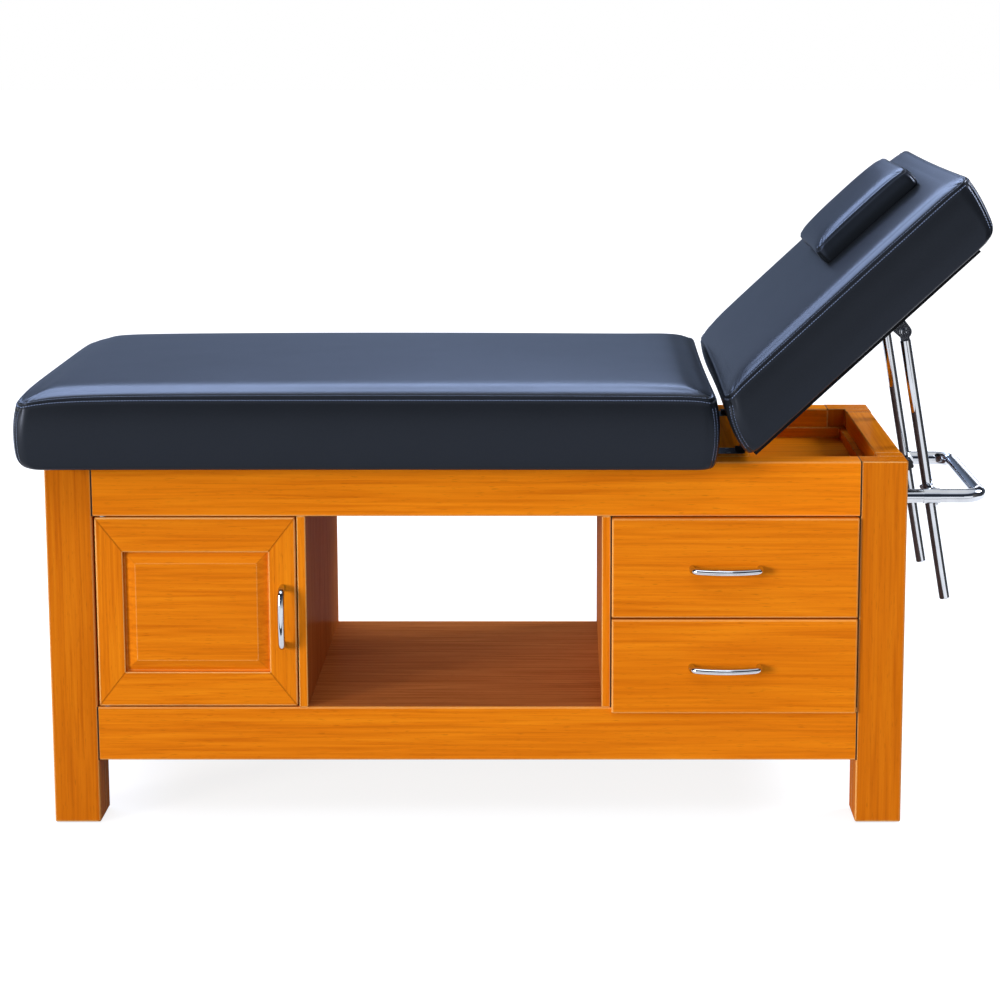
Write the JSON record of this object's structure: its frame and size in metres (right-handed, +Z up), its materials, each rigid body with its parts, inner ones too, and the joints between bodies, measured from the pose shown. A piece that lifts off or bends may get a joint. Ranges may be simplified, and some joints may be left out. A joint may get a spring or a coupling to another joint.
{
  "type": "spa bed with cabinet base",
  "caption": "Upholstered treatment bed on a wooden cabinet base: tilting backrest on sliding props, head pillow, cupboard, open shelf and drawers.",
  "frame": {"origin": "on the floor, under the middle of the whole bed", "axes": "+X towards the head end, -Y towards the front with the door and drawers, +Z up"},
  "size_m": [1.723, 0.712, 1.1706],
  "materials": {
    "beech": "gloss",
    "brown_board": "satin",
    "drawer_ply": "satin",
    "seat_vinyl": "satin",
    "pillow_vinyl": "satin",
    "plywood": "matte",
    "chrome": "polished",
    "zinc_steel": "satin",
    "black_plastic": "matte"
  },
  "bodies": {
    "frame": {"leg_foot_front": "beech", "leg_foot_rear": "beech", "leg_head_front": "beech", "leg_head_rear": "beech", "top_rail_front": "beech", "top_rail_rear": "beech", "top_rail_foot": "beech", "top_rail_head": "beech", "bottom_rail_front": "beech", "bottom_rail_rear": "beech", "bottom_end_rails": "beech", "bottom_panel": "brown_board", "tray_floor": "brown_board", "tray_cleats": "beech", "tray_beads": "beech", "cross_rail": "beech", "divider_left": "brown_board", "divider_right": "brown_board", "divider_lippings": "beech", "end_panels": "brown_board", "back_panels": "brown_board", "seat_board": "plywood", "seat_pad": "seat_vinyl", "foot_glides": "black_plastic", "drawer_runners": "zinc_steel", "hinge_bases": "zinc_steel", "hinge_pins": "zinc_steel", "frame_screws": "zinc_steel", "support_bar": "chrome", "bar_flanges": "chrome", "bar_sleeves": "chrome", "sleeve_screws": "chrome", "door_catch": "black_plastic", "door_pivot_pins": "zinc_steel"},
    "door": {"door_stiles": "beech", "door_rails": "beech", "door_panel": "beech", "door_handle": "chrome", "door_strike": "zinc_steel"},
    "upper_drawer": {"drawer_front_upper": "beech", "drawer_box_upper": "drawer_ply", "drawer_slides_upper": "zinc_steel", "drawer_handle_upper": "chrome"},
    "lower_drawer": {"drawer_front_lower": "beech", "drawer_box_lower": "drawer_ply", "drawer_slides_lower": "zinc_steel", "drawer_handle_lower": "chrome"},
    "backrest": {"backrest_board": "plywood", "backrest_pad": "seat_vinyl", "head_pillow": "pillow_vinyl", "hinge_arms": "zinc_steel", "clevis_brackets": "zinc_steel", "clevis_bolts": "chrome", "backrest_screws": "zinc_steel"},
    "front_prop": {"prop_front": "chrome"},
    "rear_prop": {"prop_rear": "chrome"},
    "front_swivel": {"swivel_block_front": "zinc_steel"},
    "rear_swivel": {"swivel_block_rear": "zinc_steel"},
    "front_knob": {"lock_knob_front": "black_plastic"},
    "rear_knob": {"lock_knob_rear": "black_plastic"}
  },
  "joints": [
    {"name": "backrest_tilt", "type": "hinge", "parent": "frame", "child": "backrest", "pos_m": [0.4165, 0, 0.672], "axis": [0, -1, 0], "range_deg": [-43, 5]},
    {"name": "front_prop_pivot", "type": "hinge", "parent": "backrest", "child": "front_prop", "pos_m": [0.70662, -0.1317, 0.87486], "axis": [0, -1, 0], "range_deg": [-2.5, 21.5]},
    {"name": "front_swivel_turn", "type": "hinge", "parent": "frame", "child": "front_swivel", "pos_m": [0.7578, -0.1317, 0.578], "axis": [0, -1, 0], "range_deg": [-21.5, 2.5]},
    {"name": "front_knob_turn", "type": "hinge", "parent": "front_swivel", "child": "front_knob", "pos_m": [0.7578, -0.1132, 0.578], "axis": [0, 1, 0], "range_deg": [0, 270]},
    {"name": "rear_prop_pivot", "type": "hinge", "parent": "backrest", "child": "rear_prop", "pos_m": [0.70662, 0.1317, 0.87486], "axis": [0, -1, 0], "range_deg": [-2.5, 21.5]},
    {"name": "rear_swivel_turn", "type": "hinge", "parent": "frame", "child": "rear_swivel", "pos_m": [0.7578, 0.1317, 0.578], "axis": [0, -1, 0], "range_deg": [-21.5, 2.5]},
    {"name": "rear_knob_turn", "type": "hinge", "parent": "rear_swivel", "child": "rear_knob", "pos_m": [0.7578, 0.1132, 0.578], "axis": [0, -1, 0], "range_deg": [0, 270]},
    {"name": "door_swing", "type": "hinge", "parent": "frame", "child": "door", "pos_m": [-0.7235, -0.26, 0.217], "axis": [0, 0, -1], "range_deg": [0, 105]},
    {"name": "upper_drawer_slide", "type": "slide", "parent": "frame", "child": "upper_drawer", "axis": [0, -1, 0], "range_m": [0, 0.3]},
    {"name": "lower_drawer_slide", "type": "slide", "parent": "frame", "child": "lower_drawer", "axis": [0, -1, 0], "range_m": [0, 0.3]}
  ],
  "couplings": [
    {"joint": "front_prop_pivot", "follows": "backrest_tilt", "ratio": -0.5},
    {"joint": "front_swivel_turn", "follows": "backrest_tilt", "ratio": 0.5},
    {"joint": "rear_prop_pivot", "follows": "backrest_tilt", "ratio": -0.5},
    {"joint": "rear_swivel_turn", "follows": "backrest_tilt", "ratio": 0.5}
  ]
}
